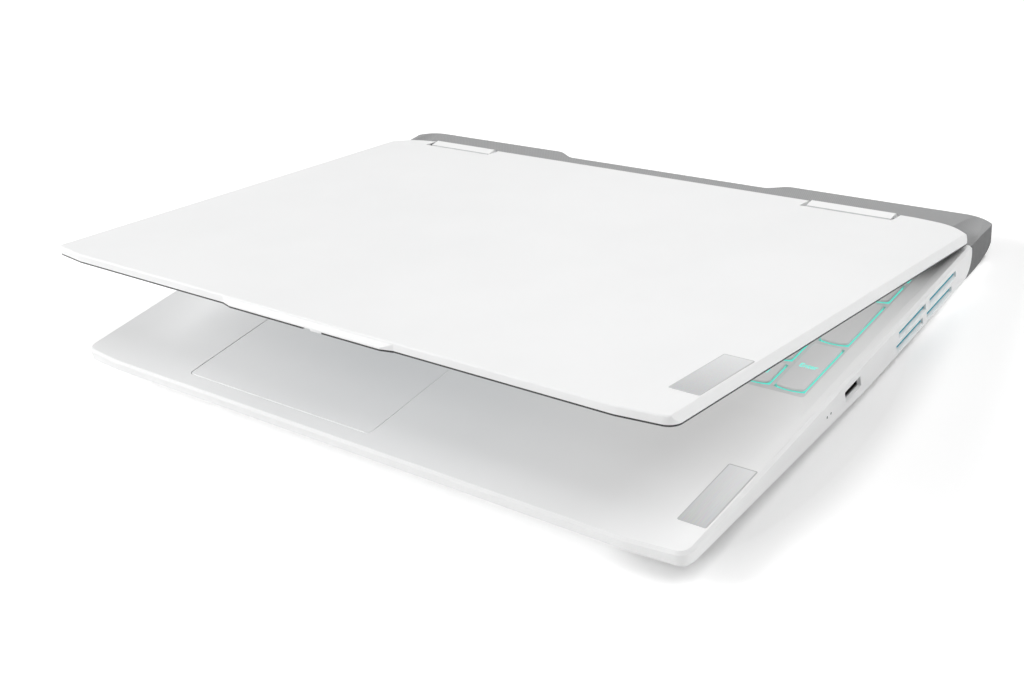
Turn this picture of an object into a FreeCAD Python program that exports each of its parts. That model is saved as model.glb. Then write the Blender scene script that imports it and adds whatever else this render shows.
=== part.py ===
import FreeCAD, Part
import math
import os

# A white 15.6 inch gaming notebook with its lid part open.
# Lengths are millimetres. While drawing, x runs left to right, y runs back from the front edge of
# the base and z runs up from the table. The lid is drawn shut and turned open at the end, and every
# piece is then moved so that the origin is under the middle of the footprint.

# Overall size
WIDTH = 359.6
DEPTH = 263.2
DECK = 16.9
LID_TOP = 21.8
HALF = WIDTH / 2

# Lid hinge
HINGE_Y = 241.0
HINGE_Z = DECK + 2.75
OPEN_ANGLE = 12.3
HINGE_SPANS = {"left": (-153.4, -105.4), "right": (93.2, 141.2)}
OUTBOARD = {"left": -1, "right": 1}
HINGE_GAP = 2.0
HINGE_LENGTH = 44.0
BARREL = 3.9
BARREL_WALL = 0.8
BAR_FOOT_HALF = 3.5
CROWN = DECK + 5.0
CROWN_WALL = 0.5
NOTCH_RADIUS = 6.2
CROWN_EASE = ((-2.3, CROWN), (-3.6, HINGE_Z + 1.5))
PIN_RADIUS = 1.1
PIN_FIT = 0.05
KNUCKLE = 2.8
BRACKET_TOP = DECK - 3.7
BRACKET_SCREWS = (8.0, 24.0, 40.0)
BRACKET_SCREW_Y = 222.0
LID_ARM = (48.4, 56.6)
LID_BOSS_ALONG = 53.0
LID_BOSS_Y = (222.0, 232.0)

# Base shells
WALL = 1.9
SKIN = 1.7
BELLY = 1.6
COVER_SKIN = 1.6
COVER_INSIDE = BELLY + COVER_SKIN
SEAM_FRONT = DECK - 5.2
SEAM_REAR = DECK - 13.1
SEAM_RUN = 135.0
FRONT_BEND = 153.5
CORNER_SETBACK = 2.4
CORNER_RADIUS = 6.0
DECK_BEVEL = 1.2
BELLY_REAR = 250.0

# Screws, bosses and posts that hold the base together
SCREWS = [(x, y) for y, spread in ((40, (-112, 112)), (96, (-112, 0, 112)), (226, (-168, -60, 60, 168)))
          for x in spread]
BOSS_RADIUS = 2.6
SCREW_RADIUS = 0.9
SCREW_HEAD = 2.3
HEAD_SEAT = BELLY + 0.9
BOARD_UNDER = 5.2
BOARD_TOP = 6.4
BOARD_POSTS = [(side * x, y) for x, y in ((150, 108), (150, 146), (70, 160), (70, 216)) for side in (-1, 1)]
BOARD_POST_RADIUS = 1.8

# Rear shelf
SPLIT_TOP = 235.2
SPLIT_MIDDLE = 233.8
SPLIT_BOTTOM = 226.8
RECESS_DEPTH = 5.1
RECESS_X = (-65.0, 61.0)
RECESS_SLOPE = 9.5
REAR_CORNER_X = 172.4
REAR_CORNER_SWEEP = 5.9
SHELF_FALL = 0.9
REAR_LEAN = 2.9
REAR_EDGE = DEPTH + SHELF_FALL * REAR_LEAN / (DECK - SEAM_REAR)
TROUGH_RADIUS = 5.1
TROUGH_WALL = 1.1
TROUGH_HALF = 170.0
BARREL_FOOT = HINGE_Z - TROUGH_RADIUS - TROUGH_WALL
SCOOP_X = 171.0
SCOOP_RADIUS = 16.0
SCOOP_WALL = 1.2
SCOOP_DEPTHS = {240.0: 2.2, 262.0: 0.85}
END_TURN = 9.0
END_TURN_X = 162.0

# Keyboard
ROW_PITCH = 18.25
KEY_PITCH = 18.15
KEY_GAP = 3.2
KEY_DEPTH = 14.4
KEY_LEFT = -166.6
KEY_FRONT = 108.0
PAD_LEFT = 105.6
PAD_PITCH = 16.0
PAD_GAP = 3.0
FUNCTION_DEPTH = 10.0
KEY_TOP = DECK - 0.6
KEY_FOOT = DECK - 2.8
KEY_BEVEL = 0.35
KEY_SMILE = 1.6
LIGHT_GAP = 0.6
TRAY_FLOOR = DECK - 1.6
TRAY_UNDER = TRAY_FLOOR - 1.8
TRAY_HALF = 175.2
TRAY_FRONT = 90.0
TRAY_REAR = 231.0
WELL_HALF = 168.2
WELL_FRONT = 104.6
WELL_REAR = 211.4
PLATE_TOP = DECK - 5.6
PLATE_Y = (99.2, 216.0)
STAKE_RADIUS = 0.8
KEYBOARD_STAKES = [(x, y) for x in (-150, -90, -30, 30, 90, 150) for y in (101.5, 214.0)]

# Deck furniture
TOUCHPAD_X = (-104.3, 15.7)
TOUCHPAD_Y = (8.8, 83.8)
TOUCHPAD_TOP = DECK - 0.12
BUTTON_Y = 220.5
BUTTON_SIZE = (20.0, 6.0)
BUTTON_TOP = TRAY_FLOOR + 0.2
SLIDE_GAP = 0.35
BADGE_DEPTH = 0.3
PALM_BADGE = ((165.2, 177.9), (17.9, 54.1))
LID_BADGE = ((163.6, 176.9), (21.6, 58.0))

# Side vents: front, rear and drop below the deck of the middle of each slot
VENT_SLOTS = ((164.0, 188.9, 4.6), (192.6, 218.3, 4.6), (161.0, 185.5, 9.75), (189.3, 213.6, 9.75))
VENT_HEIGHT = 2.4
VENT_SILL_FALL = 1.0
VENT_LIP_DEPTH = 1.0
VENT_INSERT = ((158.0, 221.0), (4.9, 13.4))

# Sockets: wall, place along it, drop below the deck and depth of the mouth behind the wall, then
# width, height, corner radius and depth of the shell, and width, height and rise of the contact tongue
SOCKETS = {
    "data_port_right": ("right", 123.4, 6.3, 1.5, (13.0, 4.8, 0.5, 10.4), (10.6, 1.3, 0.75)),
    "data_port_left": ("left", 123.4, 6.3, 1.5, (13.0, 4.8, 0.5, 10.4), (10.6, 1.3, 0.75)),
    "compact_port_left": ("left", 144.0, 6.2, 0.6, (9.2, 3.4, 1.6, 9.0), (6.6, 0.7, 0.0)),
    "network_port": ("rear", -38.0, 7.5, 0.0, (13.0, 8.0, 0.4, 12.4), None),
    "video_port": ("rear", 0.0, 7.5, 0.0, (15.2, 5.8, 0.9, 11.0), (10.5, 1.2, 0.4)),
    "power_inlet": ("rear", 36.0, 7.5, 0.0, (12.2, 5.6, 0.9, 11.0), (1.6, 1.6, 0.0)),
}
OUTLOOK = {
    "right": FreeCAD.Vector(1, 0, 0), "left": FreeCAD.Vector(-1, 0, 0), "rear": FreeCAD.Vector(0, 1, 0)}
REAR_MOUTH = 255.4
JACK_PLACE = ("left", 100.0, 6.2, 0.6)
JACK_RADIUS = 3.0
JACK_BORE = 1.8
JACK_DEPTH = 10.6
LIGHT_PLACES = (102.2, 105.2)
LIGHT_DROP = 6.3
LIGHT_RADIUS = 0.6

# Feet
FRONT_FEET = (118.0, 54.0)
REAR_FOOT_Y = 236.0
FOOT_SEAT = 0.4

# Lid
LID_UNDER = DECK + 0.6
RIM_TOP = DECK + 1.4
LID_SKIN = 1.0
LID_CEILING = LID_TOP - LID_SKIN
LID_WALL = 1.4
LID_DRAFT = 2.1
LID_LAND = 0.3
LID_FRONT = -0.7
LID_REAR = 245.0
LIP_REACH = 1.7
LIP_HALF = 45.0
LIP_SLOPE = 6.0
PANEL_TOP = RIM_TOP + 2.2
VIEW_HALF = 172.3
VIEW_Y = (10.5, 204.3)
LENS_Y = 4.6
CAMERA_BOARD = (DECK + 2.4, DECK + 3.2)
SHUTTER_X = (5.4, 11.8)
SHUTTER_TRAVEL = 4.2

# Fans
FAN_X = 122.0
FAN_Y = 196.0
FAN_HALF = 38.0
FAN_FLOOR = 3.8
FAN_ROOF = 10.2
FAN_DUCT_END = 246.0
FAN_INLET = 24.0
SPINDLE_RADIUS = 1.2
BLADES = 25


def vec(x, y, z):
    return FreeCAD.Vector(x, y, z)


def grown(span, by):
    return span[0] - by, span[1] + by


def box(x, y, z):
    """A block between the two ends given for each axis."""
    return Part.makeBox(x[1] - x[0], y[1] - y[0], z[1] - z[0], vec(x[0], y[0], z[0]))


def rounded_wire(corners):
    """A closed flat outline through (x, y, radius) corners."""
    bends = []
    for i, (x, y, radius) in enumerate(corners):
        here = vec(x, y, 0)
        back = vec(*corners[i - 1][:2], 0) - here
        ahead = vec(*corners[(i + 1) % len(corners)][:2], 0) - here
        back.normalize()
        ahead.normalize()
        if not radius:
            bends.append((here, here, here))
            continue
        half_turn = back.getAngle(ahead) / 2
        reach = radius / math.tan(half_turn)
        inward = (back + ahead).normalize()
        middle = here + inward * (radius / math.sin(half_turn) - radius)
        bends.append((here + back * reach, middle, here + ahead * reach))
    edges = []
    for i, (arrive, middle, leave) in enumerate(bends):
        if arrive.distanceToPoint(leave) > 1e-6:
            edges.append(Part.Arc(arrive, middle, leave).toShape())
        next_arrive = bends[(i + 1) % len(bends)][0]
        if leave.distanceToPoint(next_arrive) > 1e-6:
            edges.append(Part.makeLine(leave, next_arrive))
    return Part.Wire(edges)


def rectangle(x, y, radius=0.0):
    """Corners of a rounded rectangle, counter-clockwise."""
    return [(x[0], y[0], radius), (x[1], y[0], radius), (x[1], y[1], radius), (x[0], y[1], radius)]


def prism(wires, z):
    """Solid from a flat outline, with any holes after it, between two heights."""
    if not isinstance(wires, list):
        wires = [wires]
    face = Part.makeFace(wires, "Part::FaceMakerBullseye")
    face.translate(vec(0, 0, z[0]))
    return face.extrude(vec(0, 0, z[1] - z[0]))


def inset_wire(wire, distance):
    return wire.makeOffset2D(-distance) if distance else wire


def side_profile(corners, x):
    """Solid from a (y, z, radius) outline in the side view, between two x."""
    face = Part.Face(rounded_wire(corners))
    face.rotate(vec(0, 0, 0), vec(1, 1, 1), 120)
    face.translate(vec(x[0], 0, 0))
    return face.extrude(vec(x[1] - x[0], 0, 0))


def rod_x(y, z, radius, x):
    return Part.makeCylinder(radius, x[1] - x[0], vec(x[0], y, z), vec(1, 0, 0))


def rod_z(x, y, radius, z):
    return Part.makeCylinder(radius, z[1] - z[0], vec(x, y, z[0]))


def beyond(point, normal):
    """Everything on the far side of a plane, as a block to cut with."""
    size = 900.0
    block = Part.makeBox(size, size, size / 4, vec(-size / 2, -size / 2, 0))
    block.Placement = FreeCAD.Placement(point, FreeCAD.Rotation(vec(0, 0, 1), normal))
    return block


def flip_x(shape):
    return shape.mirror(vec(0, 0, 0), vec(1, 0, 0))


def bevel_edges(shape, size, wanted):
    edges = [edge for edge in shape.Edges if wanted(edge)]
    return shape.makeChamfer(size, edges)


def round_edges(shape, size, wanted):
    edges = [edge for edge in shape.Edges if wanted(edge)]
    return shape.makeFillet(size, edges)


def at_height(height, rear=1e9):
    """Picks the edges that lie level at a height, in front of a line."""
    def wanted(edge):
        middle = edge.CenterOfMass
        level = all(abs(point.Z - height) < 1e-4 for point in edge.Vertexes)
        return level and abs(middle.z - height) < 1e-4 and middle.y < rear
    return wanted


def joined(shapes):
    first, *others = shapes
    return first.fuse(others).removeSplitter()


# Outlines that several pieces share

def base_wire(rear):
    """Plan of the base: a straight front whose last stretch sweeps back to round corners."""
    return rounded_wire([
        (-FRONT_BEND, 0, 20), (FRONT_BEND, 0, 20), (HALF, CORNER_SETBACK, CORNER_RADIUS),
        (HALF, rear, 0), (-HALF, rear, 0), (-HALF, CORNER_SETBACK, CORNER_RADIUS)])


def belly_planes():
    """The sloped undersides: the belly rises to the seam at the front and along both sides."""
    rise = SEAM_FRONT - SEAM_REAR
    front_run = 30.0
    side_slope = 0.395
    front = vec(0, -(SEAM_FRONT - BELLY), -front_run).normalize()
    side = vec(0, SEAM_RUN, -rise).cross(vec(-1, 0, -side_slope)) * -1
    side.normalize()
    hem = vec(SEAM_REAR - BELLY, 0, -3.0).normalize()
    planes = [(vec(0, 0, SEAM_FRONT), front), (vec(0, BELLY_REAR, SEAM_REAR), vec(0, 1, -1.6).normalize())]
    for sign in (-1, 1):
        planes.append((vec(sign * HALF, 0, SEAM_FRONT), vec(sign * side.x, side.y, side.z)))
        planes.append((vec(sign * HALF, 0, SEAM_REAR), vec(sign * hem.x, hem.y, hem.z)))
    return planes


def belly_hull(inset, top):
    """The base's outer form, or the same form drawn in all round."""
    body = prism(inset_wire(base_wire(BELLY_REAR), inset), (BELLY + inset, top))
    for point, normal in belly_planes():
        body = body.cut(beyond(point - normal * inset, normal))
    return body


def above_seam():
    """The space above the parting line, which drops from the front edge to the rear."""
    return side_profile([
        (-10, SEAM_FRONT + 10 * (SEAM_FRONT - SEAM_REAR) / SEAM_RUN, 0), (SEAM_RUN, SEAM_REAR, 0),
        (300, SEAM_REAR, 0), (300, 60, 0), (-10, 60, 0)], (-200, 200))


def ahead_of_shelf():
    """The space in front of the joint between the white case and the grey rear shelf."""
    top = vec(0, SPLIT_TOP, DECK)
    middle = vec(0, SPLIT_MIDDLE, DECK - 7.6)
    bottom = vec(0, SPLIT_BOTTOM, SEAM_REAR)
    rim = [vec(0, SPLIT_BOTTOM, -5), vec(0, -10, -5), vec(0, -10, 40), vec(0, SPLIT_TOP, 40), top]
    edges = [Part.Arc(top, middle, bottom).toShape(), Part.makePolygon([bottom] + rim)]
    face = Part.Face(Part.Wire(Part.__sortEdges__(sum([edge.Edges for edge in edges], []))))
    face.translate(vec(-200, 0, 0))
    return face.extrude(vec(400, 0, 0))


def pill(length, width):
    return rectangle((-length / 2, length / 2), (-width / 2, width / 2), width / 2 - 0.001)


def moved(corners, x, y):
    return [(corner[0] + x, corner[1] + y, corner[2]) for corner in corners]


# Keyboard layout

def key_wire(x, y):
    """Outline of a keycap: small rear corners, larger front corners and a bowed front edge."""
    left, right = x
    front, rear = y
    rear_radius = 1.2
    front_radius = 1.8
    middle = (left + right) / 2
    slope = math.atan2(KEY_SMILE, middle - left)
    corner_reach = front_radius * math.tan((math.pi / 2 - slope) / 2)
    bow_reach = (middle - left) / math.cos(slope) - corner_reach - 0.05
    bow_radius = bow_reach / math.tan(slope)
    return rounded_wire([
        (left, rear, rear_radius), (left, front, front_radius), (middle, front - KEY_SMILE, bow_radius),
        (right, front, front_radius), (right, rear, rear_radius)])


def key_opening(x, y):
    """Outline of the opening round a keycap: the same bow, with plain corners."""
    left, right = grown(x, LIGHT_GAP)
    front, rear = grown(y, LIGHT_GAP)
    middle = (left + right) / 2
    corners = [vec(left, front, 0), vec(right, front, 0), vec(right, rear, 0), vec(left, rear, 0)]
    bow = Part.Arc(corners[0], vec(middle, front - KEY_SMILE / 2, 0), corners[1]).toShape()
    sides = Part.makePolygon(corners[1:] + corners[:1])
    return Part.Wire([bow] + sides.Edges)


def row_span(row, rows=1):
    """Front and rear of a key in a row counted from the space bar's."""
    front = KEY_FRONT + row * ROW_PITCH
    depth = FUNCTION_DEPTH if row == 5 else KEY_DEPTH
    return front, front + depth + (rows - 1) * ROW_PITCH


def key_run(row, units):
    """Key spans along a row of the main block, from their widths in key units."""
    spans = []
    start = KEY_LEFT
    for width in units:
        end = start + width * KEY_PITCH
        spans.append(((start, end - KEY_GAP), row_span(row)))
        start = end
    return spans


def pad_key(column, row, columns=1, rows=1):
    start = PAD_LEFT + column * PAD_PITCH
    return (start, start + columns * PAD_PITCH - PAD_GAP), row_span(row, rows)


def key_groups():
    """Every key's span, grouped by the node that holds it."""
    bottom = key_run(0, [1.25, 1, 1, 1.25, 5.5, 1, 1, 1, 1, 1])
    lower = key_run(1, [2.25] + [1] * 10 + [1.75, 1])
    digits = [pad_key(column, row) for row in (1, 2, 3) for column in range(3)]
    digits += [pad_key(0, 0, 2), pad_key(2, 0)]
    return {
        "function_keys": key_run(5, [1] * 15) + [pad_key(column, 5) for column in range(4)],
        "number_row_keys": key_run(4, [1] * 13 + [2]),
        "upper_row_keys": key_run(3, [1.5] + [1] * 12 + [1.5]),
        "home_row_keys": key_run(2, [1.75] + [1] * 11 + [2.25]),
        "lower_row_keys": lower[:-1],
        "bottom_row_keys": bottom[:4] + bottom[5:7],
        "space_bar": bottom[4:5],
        "arrow_keys": bottom[7:] + lower[-1:],
        "numpad_keys": digits + [pad_key(column, 4) for column in range(4)],
        "numpad_plus_key": [pad_key(3, 2, 1, 2)],
        "numpad_enter_key": [pad_key(3, 0, 1, 2)],
    }


def keycap(x, y):
    cap = prism(key_wire(x, y), (KEY_FOOT, KEY_TOP))
    return bevel_edges(cap, KEY_BEVEL, at_height(KEY_TOP))


def key_nodes():
    nodes = {}
    for name, spans in key_groups().items():
        nodes[name] = Part.makeCompound([keycap(x, y) for x, y in spans])
    return nodes


def keyboard_frame():
    """The web between the keys, one opening a little larger than each cap."""
    outline = rounded_wire(rectangle((-WELL_HALF, WELL_HALF), (WELL_FRONT, WELL_REAR), 1.5))
    holes = [key_opening(x, y) for spans in key_groups().values() for x, y in spans]
    return prism([outline] + holes, (TRAY_FLOOR - 1.2, TRAY_FLOOR))


def keyboard_sheets():
    """Steel plate, light guide and switch sheet stacked under the keys."""
    span_x = grown((-WELL_HALF, WELL_HALF), -0.6)
    plate_outline = rounded_wire(rectangle(span_x, PLATE_Y, 2.0))
    sheet_outline = rounded_wire(rectangle(span_x, (WELL_FRONT, WELL_REAR), 2.0))
    stake_holes = [Part.Wire(Part.makeCircle(STAKE_RADIUS, vec(x, y, 0))) for x, y in KEYBOARD_STAKES]
    guide_top = PLATE_TOP + 0.3
    sheet_top = guide_top + 0.3
    return {
        "keyboard_baseplate": prism([plate_outline] + stake_holes, (PLATE_TOP - 0.6, PLATE_TOP)),
        "keyboard_light_guide": prism(sheet_outline, (PLATE_TOP, guide_top)),
        "key_switch_sheet": prism(sheet_outline, (guide_top, sheet_top)),
    }


# Touchpad, power button and small deck pieces

def touchpad():
    pad = prism(rounded_wire(rectangle(TOUCHPAD_X, TOUCHPAD_Y, 2.0)), (TOUCHPAD_TOP - 1.8, TOUCHPAD_TOP))
    pad = bevel_edges(pad, 0.25, at_height(TOUCHPAD_TOP))
    board = box(grown(TOUCHPAD_X, -3), grown(TOUCHPAD_Y, -3), (TOUCHPAD_TOP - 2.9, TOUCHPAD_TOP - 1.8))
    return joined([pad, board])


def power_button():
    """A pill-shaped cap in the keyboard's bed, with a flange that keeps it under the deck."""
    cap_foot = BUTTON_TOP - 2.3
    cap = prism(rounded_wire(moved(pill(*BUTTON_SIZE), 0, BUTTON_Y)), (cap_foot, BUTTON_TOP))
    cap = bevel_edges(cap, 0.4, at_height(BUTTON_TOP))
    flange_size = [size + 4 for size in BUTTON_SIZE]
    flange = prism(rounded_wire(moved(pill(*flange_size), 0, BUTTON_Y)), (cap_foot - 0.8, cap_foot))
    return joined([cap, flange])


def badge(span, top):
    """A plain satin plate set into a shallow recess."""
    x, y = span
    plate = prism(rounded_wire(rectangle(x, y, 0.8)), (top - BADGE_DEPTH, top + 0.15))
    return bevel_edges(plate, 0.1, at_height(top + 0.15))


def badge_recess(span, top):
    x, y = span
    return prism(rounded_wire(rectangle(x, y, 0.8)), (top - BADGE_DEPTH, top + 1))


# Sockets

def socket_wire(width, height, radius):
    return rounded_wire(rectangle((-width / 2, width / 2), (-height / 2, height / 2), radius))


def socket(width, height, radius, depth, tongue=None, shell=0.4):
    """A metal receptacle that opens along +z, with its mouth at z 0 and an inner contact tongue."""
    outer = prism(socket_wire(width, height, radius), (-depth, 0))
    mouth = prism(socket_wire(width - 2 * shell, height - 2 * shell, max(radius - shell, 0)),
                  (-depth + 1.2, 1))
    body = outer.cut(mouth)
    if tongue:
        tongue_width, tongue_height, tongue_rise = tongue
        blade_y = (tongue_rise - tongue_height / 2, tongue_rise + tongue_height / 2)
        blade = box((-tongue_width / 2, tongue_width / 2), blade_y, (-depth + 1.0, -1.0))
        body = joined([body, blade])
    return body


def facing(shape, side, place):
    """Turns a socket so that its mouth looks out of a wall."""
    turned = shape.copy()
    up = vec(0, 0, 1)
    out = OUTLOOK[side]
    turned.Placement = FreeCAD.Placement(place, FreeCAD.Rotation(up.cross(out), up, out, "ZXY"))
    return turned


def mouth_place(side, along, drop, behind):
    """The middle of a socket's mouth."""
    if side == "rear":
        return vec(along, REAR_MOUTH - behind, DECK - drop)
    return vec(OUTLOOK[side].x * (HALF - behind), along, DECK - drop)


def socket_nodes():
    nodes = {}
    for name, (side, along, drop, behind, form, tongue) in SOCKETS.items():
        nodes[name] = facing(socket(*form, tongue), side, mouth_place(side, along, drop, behind))
    jack = rod_z(0, 0, JACK_RADIUS, (-JACK_DEPTH, 0)).cut(rod_z(0, 0, JACK_BORE, (-JACK_DEPTH + 1, 1)))
    nodes["audio_jack"] = facing(jack, "left", mouth_place(*JACK_PLACE))
    return nodes


def socket_windows(wall):
    """Openings in a wall for the sockets that look out of it."""
    windows = []
    for side, along, drop, behind, (width, height, radius, depth), _ in SOCKETS.values():
        if side == wall:
            hole = prism(socket_wire(width, height, radius), (-depth, 6))
            windows.append(facing(hole, wall, mouth_place(side, along, drop, behind)))
    if wall == "left":
        windows.append(facing(rod_z(0, 0, JACK_RADIUS, (-JACK_DEPTH, 6)), wall, mouth_place(*JACK_PLACE)))
    return windows


# Screws

def case_screws():
    screws = []
    for x, y in SCREWS:
        head = rod_z(x, y, SCREW_HEAD, (BELLY + 0.1, HEAD_SEAT)).cut(
            box((x - 1.5, x + 1.5), (y - 0.3, y + 0.3), (BELLY, BELLY + 0.5)))
        screws.append(joined([head, rod_z(x, y, SCREW_RADIUS, (HEAD_SEAT, COVER_INSIDE + 5))]))
    return Part.makeCompound(screws)


def outward(side, start, end):
    """An x span counted from the inboard end of a hinge cover towards the side wall."""
    low, high = HINGE_SPANS[side]
    sign = OUTBOARD[side]
    inboard = (low if sign > 0 else high) + sign * HINGE_GAP
    return tuple(sorted((inboard + sign * start, inboard + sign * end)))


def hinge_screws():
    screws = []
    for side in HINGE_SPANS:
        for along in BRACKET_SCREWS:
            x = outward(side, along, along)[0]
            head = rod_z(x, BRACKET_SCREW_Y, SCREW_HEAD, (BRACKET_TOP - 2.1, BRACKET_TOP - 1.2))
            shank = rod_z(x, BRACKET_SCREW_Y, SCREW_RADIUS, (BRACKET_TOP - 1.2, BRACKET_TOP + 1.6))
            screws.append(joined([head, shank]))
    return Part.makeCompound(screws)


# White top case

def vent_slots(sign):
    """The four louvre slots in a side wall, each with a sill that slopes out and down."""
    slots = []
    inside = HALF - WALL
    for front, rear, drop in VENT_SLOTS:
        top = DECK - drop + VENT_HEIGHT / 2
        sill = top - VENT_HEIGHT
        hem = sill - VENT_SILL_FALL
        outline = [(HALF + 1, top), (inside - 2, top), (inside - 2, sill), (inside, sill), (HALF, hem),
                   (HALF + 1, hem)]
        corners = [vec(sign * x, front, z) for x, z in outline]
        face = Part.Face(Part.makePolygon(corners + corners[:1]))
        slots.append(face.extrude(vec(0, rear - front, 0)))
    return slots


def keyboard_tray():
    """The sunken keyboard bed: a long ramp from the palm rest and steeper ends and rear."""
    top = rounded_wire(rectangle((-TRAY_HALF, TRAY_HALF), (TRAY_FRONT, TRAY_REAR)))
    floor = rounded_wire(rectangle(grown((-WELL_HALF, WELL_HALF), 0.2), (WELL_FRONT - 0.4, TRAY_REAR - 2)))
    top.translate(vec(0, 0, DECK))
    floor.translate(vec(0, 0, TRAY_FLOOR))
    return Part.makeLoft([top, floor], True, True)


def top_case():
    """Palm rest, deck and side walls, with the bosses, pads and stakes moulded under the deck."""
    shell = prism(base_wire(SPLIT_TOP + 1), (BELLY, DECK))
    shell = bevel_edges(shell, DECK_BEVEL, at_height(DECK, SPLIT_TOP))
    room = prism(inset_wire(base_wire(SPLIT_TOP + 10), WALL), (-1, DECK - SKIN))
    bed_x = grown((-TRAY_HALF, TRAY_HALF), 2.5)
    bed = box(bed_x, grown((TRAY_FRONT, TRAY_REAR), 3), (TRAY_UNDER, DECK - SKIN))
    shell = shell.cut(room.cut(bed))
    pads = [(outward(side, along, along)[0], BRACKET_SCREW_Y)
            for side in HINGE_SPANS for along in BRACKET_SCREWS]
    moulded = [rod_z(x, y, BOSS_RADIUS, (COVER_INSIDE, DECK - SKIN)) for x, y in SCREWS]
    moulded += [rod_z(x, y, 3.2, (BRACKET_TOP, DECK - SKIN)) for x, y in pads]
    moulded += [rod_z(x, y, STAKE_RADIUS, (PLATE_TOP - 0.9, TRAY_UNDER + 0.5)) for x, y in KEYBOARD_STAKES]
    moulded += [rod_z(x, y, 1.4, (PLATE_TOP, TRAY_UNDER + 0.5)) for x, y in KEYBOARD_STAKES]
    shell = joined([shell] + moulded)
    pad_span = (grown(TOUCHPAD_X, SLIDE_GAP), grown(TOUCHPAD_Y, SLIDE_GAP))
    pad_hole = rounded_wire(rectangle(*pad_span, 2 + SLIDE_GAP))
    button_hole = rounded_wire(moved(pill(*[size + 2 * SLIDE_GAP for size in BUTTON_SIZE]), 0, BUTTON_Y))
    well = rounded_wire(rectangle((-WELL_HALF, WELL_HALF), (WELL_FRONT, WELL_REAR), 1.5))
    openings = [prism(wire, (DECK - 6, DECK + 1)) for wire in (pad_hole, button_hole, well)]
    openings += [keyboard_tray(), badge_recess(PALM_BADGE, DECK)]
    openings += vent_slots(-1) + vent_slots(1) + socket_windows("left") + socket_windows("right")
    openings += [rod_x(y, DECK - LIGHT_DROP, LIGHT_RADIUS, (HALF - 4, HALF + 1)) for y in LIGHT_PLACES]
    openings += [rod_z(x, y, SCREW_RADIUS, (COVER_INSIDE, COVER_INSIDE + 5)) for x, y in SCREWS]
    openings += [rod_z(x, y, SCREW_RADIUS, (BRACKET_TOP, BRACKET_TOP + 1.6)) for x, y in pads]
    shell = shell.cut(openings)
    return shell.common(above_seam().common(ahead_of_shelf()))


def status_lights():
    return Part.makeCompound([rod_x(y, DECK - LIGHT_DROP, LIGHT_RADIUS, (HALF - 2.6, HALF - 0.1))
                              for y in LIGHT_PLACES])


def side_vent_grille(sign):
    """The coloured louvre insert behind a side wall, with a lip and upright bars in each slot."""
    inner = HALF - WALL
    count = 5
    pieces = [box(sorted((sign * (inner - 1.3), sign * inner)), *VENT_INSERT)]
    lip_x = sorted((sign * (inner - 0.2), sign * (HALF - VENT_LIP_DEPTH)))
    gap_x = sorted((sign * (inner - 3), sign * HALF))
    gaps = []
    for front, rear, drop in VENT_SLOTS:
        middle = DECK - drop
        lip_half = VENT_HEIGHT / 2 - 0.1
        pieces.append(box(lip_x, (front + 0.2, rear - 0.2), (middle - lip_half, middle + lip_half)))
        height = (middle - 0.2, middle + VENT_HEIGHT / 2 - 0.3)
        pitch = (rear - front) / count
        for i in range(count):
            gaps.append(box(gap_x, (front + i * pitch + 0.5, front + (i + 1) * pitch - 0.5), height))
    return joined(pieces).cut(gaps)


# Bottom cover, feet

def foot_wires():
    front = pill(46, 9)
    rear = pill(290, 10)
    return [rounded_wire(moved(front, -FRONT_FEET[0], FRONT_FEET[1])),
            rounded_wire(moved(front, FRONT_FEET[0], FRONT_FEET[1])),
            rounded_wire(moved(rear, 0, REAR_FOOT_Y))]


def rubber_feet():
    pads = [prism(wire, (0, BELLY + FOOT_SEAT)) for wire in foot_wires()]
    return Part.makeCompound([bevel_edges(pad, 0.5, at_height(0)) for pad in pads])


def intake_slots():
    """Slots in the belly under each fan and under each speaker."""
    slots = []
    for sign in (-1, 1):
        for column in range(9):
            x = sign * FAN_X - 30 + column * 7.5
            for row in range(3):
                y = 172 + row * 16.5
                slots.append(box((x - 1.8, x + 1.8), (y, y + 13), (0, COVER_INSIDE + 1)))
        for row in range(4):
            y = 62 + row * 4
            slots.append(box((sign * 139 - 12, sign * 139 + 12), (y, y + 1.6), (0, COVER_INSIDE + 1)))
    return slots


def bottom_cover():
    """The belly with its upswept edges, intake slots, foot seats and the posts under the main board."""
    cover = belly_hull(0, DECK).cut(belly_hull(COVER_SKIN, DECK)).cut(above_seam())
    posts = [rod_z(x, y, BOARD_POST_RADIUS, (COVER_INSIDE - 0.5, BOARD_UNDER)) for x, y in BOARD_POSTS]
    holes = intake_slots() + [prism(wire, (0, BELLY + FOOT_SEAT)) for wire in foot_wires()]
    for x, y in SCREWS:
        holes.append(rod_z(x, y, SCREW_HEAD, (0, HEAD_SEAT)))
        holes.append(rod_z(x, y, SCREW_RADIUS, (0, COVER_INSIDE + 1)))
    return joined([cover] + posts).cut(holes)


# Grey rear shelf with the exhausts and the rear sockets

def shelf_wire():
    """Plan of the shelf: round rear corners and a shallow recess across the middle."""
    front = SPLIT_BOTTOM - 4
    recess = REAR_EDGE - RECESS_DEPTH
    sweep = REAR_EDGE - REAR_CORNER_SWEEP
    left, right = RECESS_X
    return rounded_wire([
        (left, recess, 9), (right, recess, 9), (right + RECESS_SLOPE, REAR_EDGE, 9),
        (REAR_CORNER_X, REAR_EDGE, 24), (HALF, sweep, 2), (HALF, front, 0),
        (-HALF, front, 0), (-HALF, sweep, 2), (-REAR_CORNER_X, REAR_EDGE, 24),
        (left - RECESS_SLOPE, REAR_EDGE, 9)])


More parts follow.
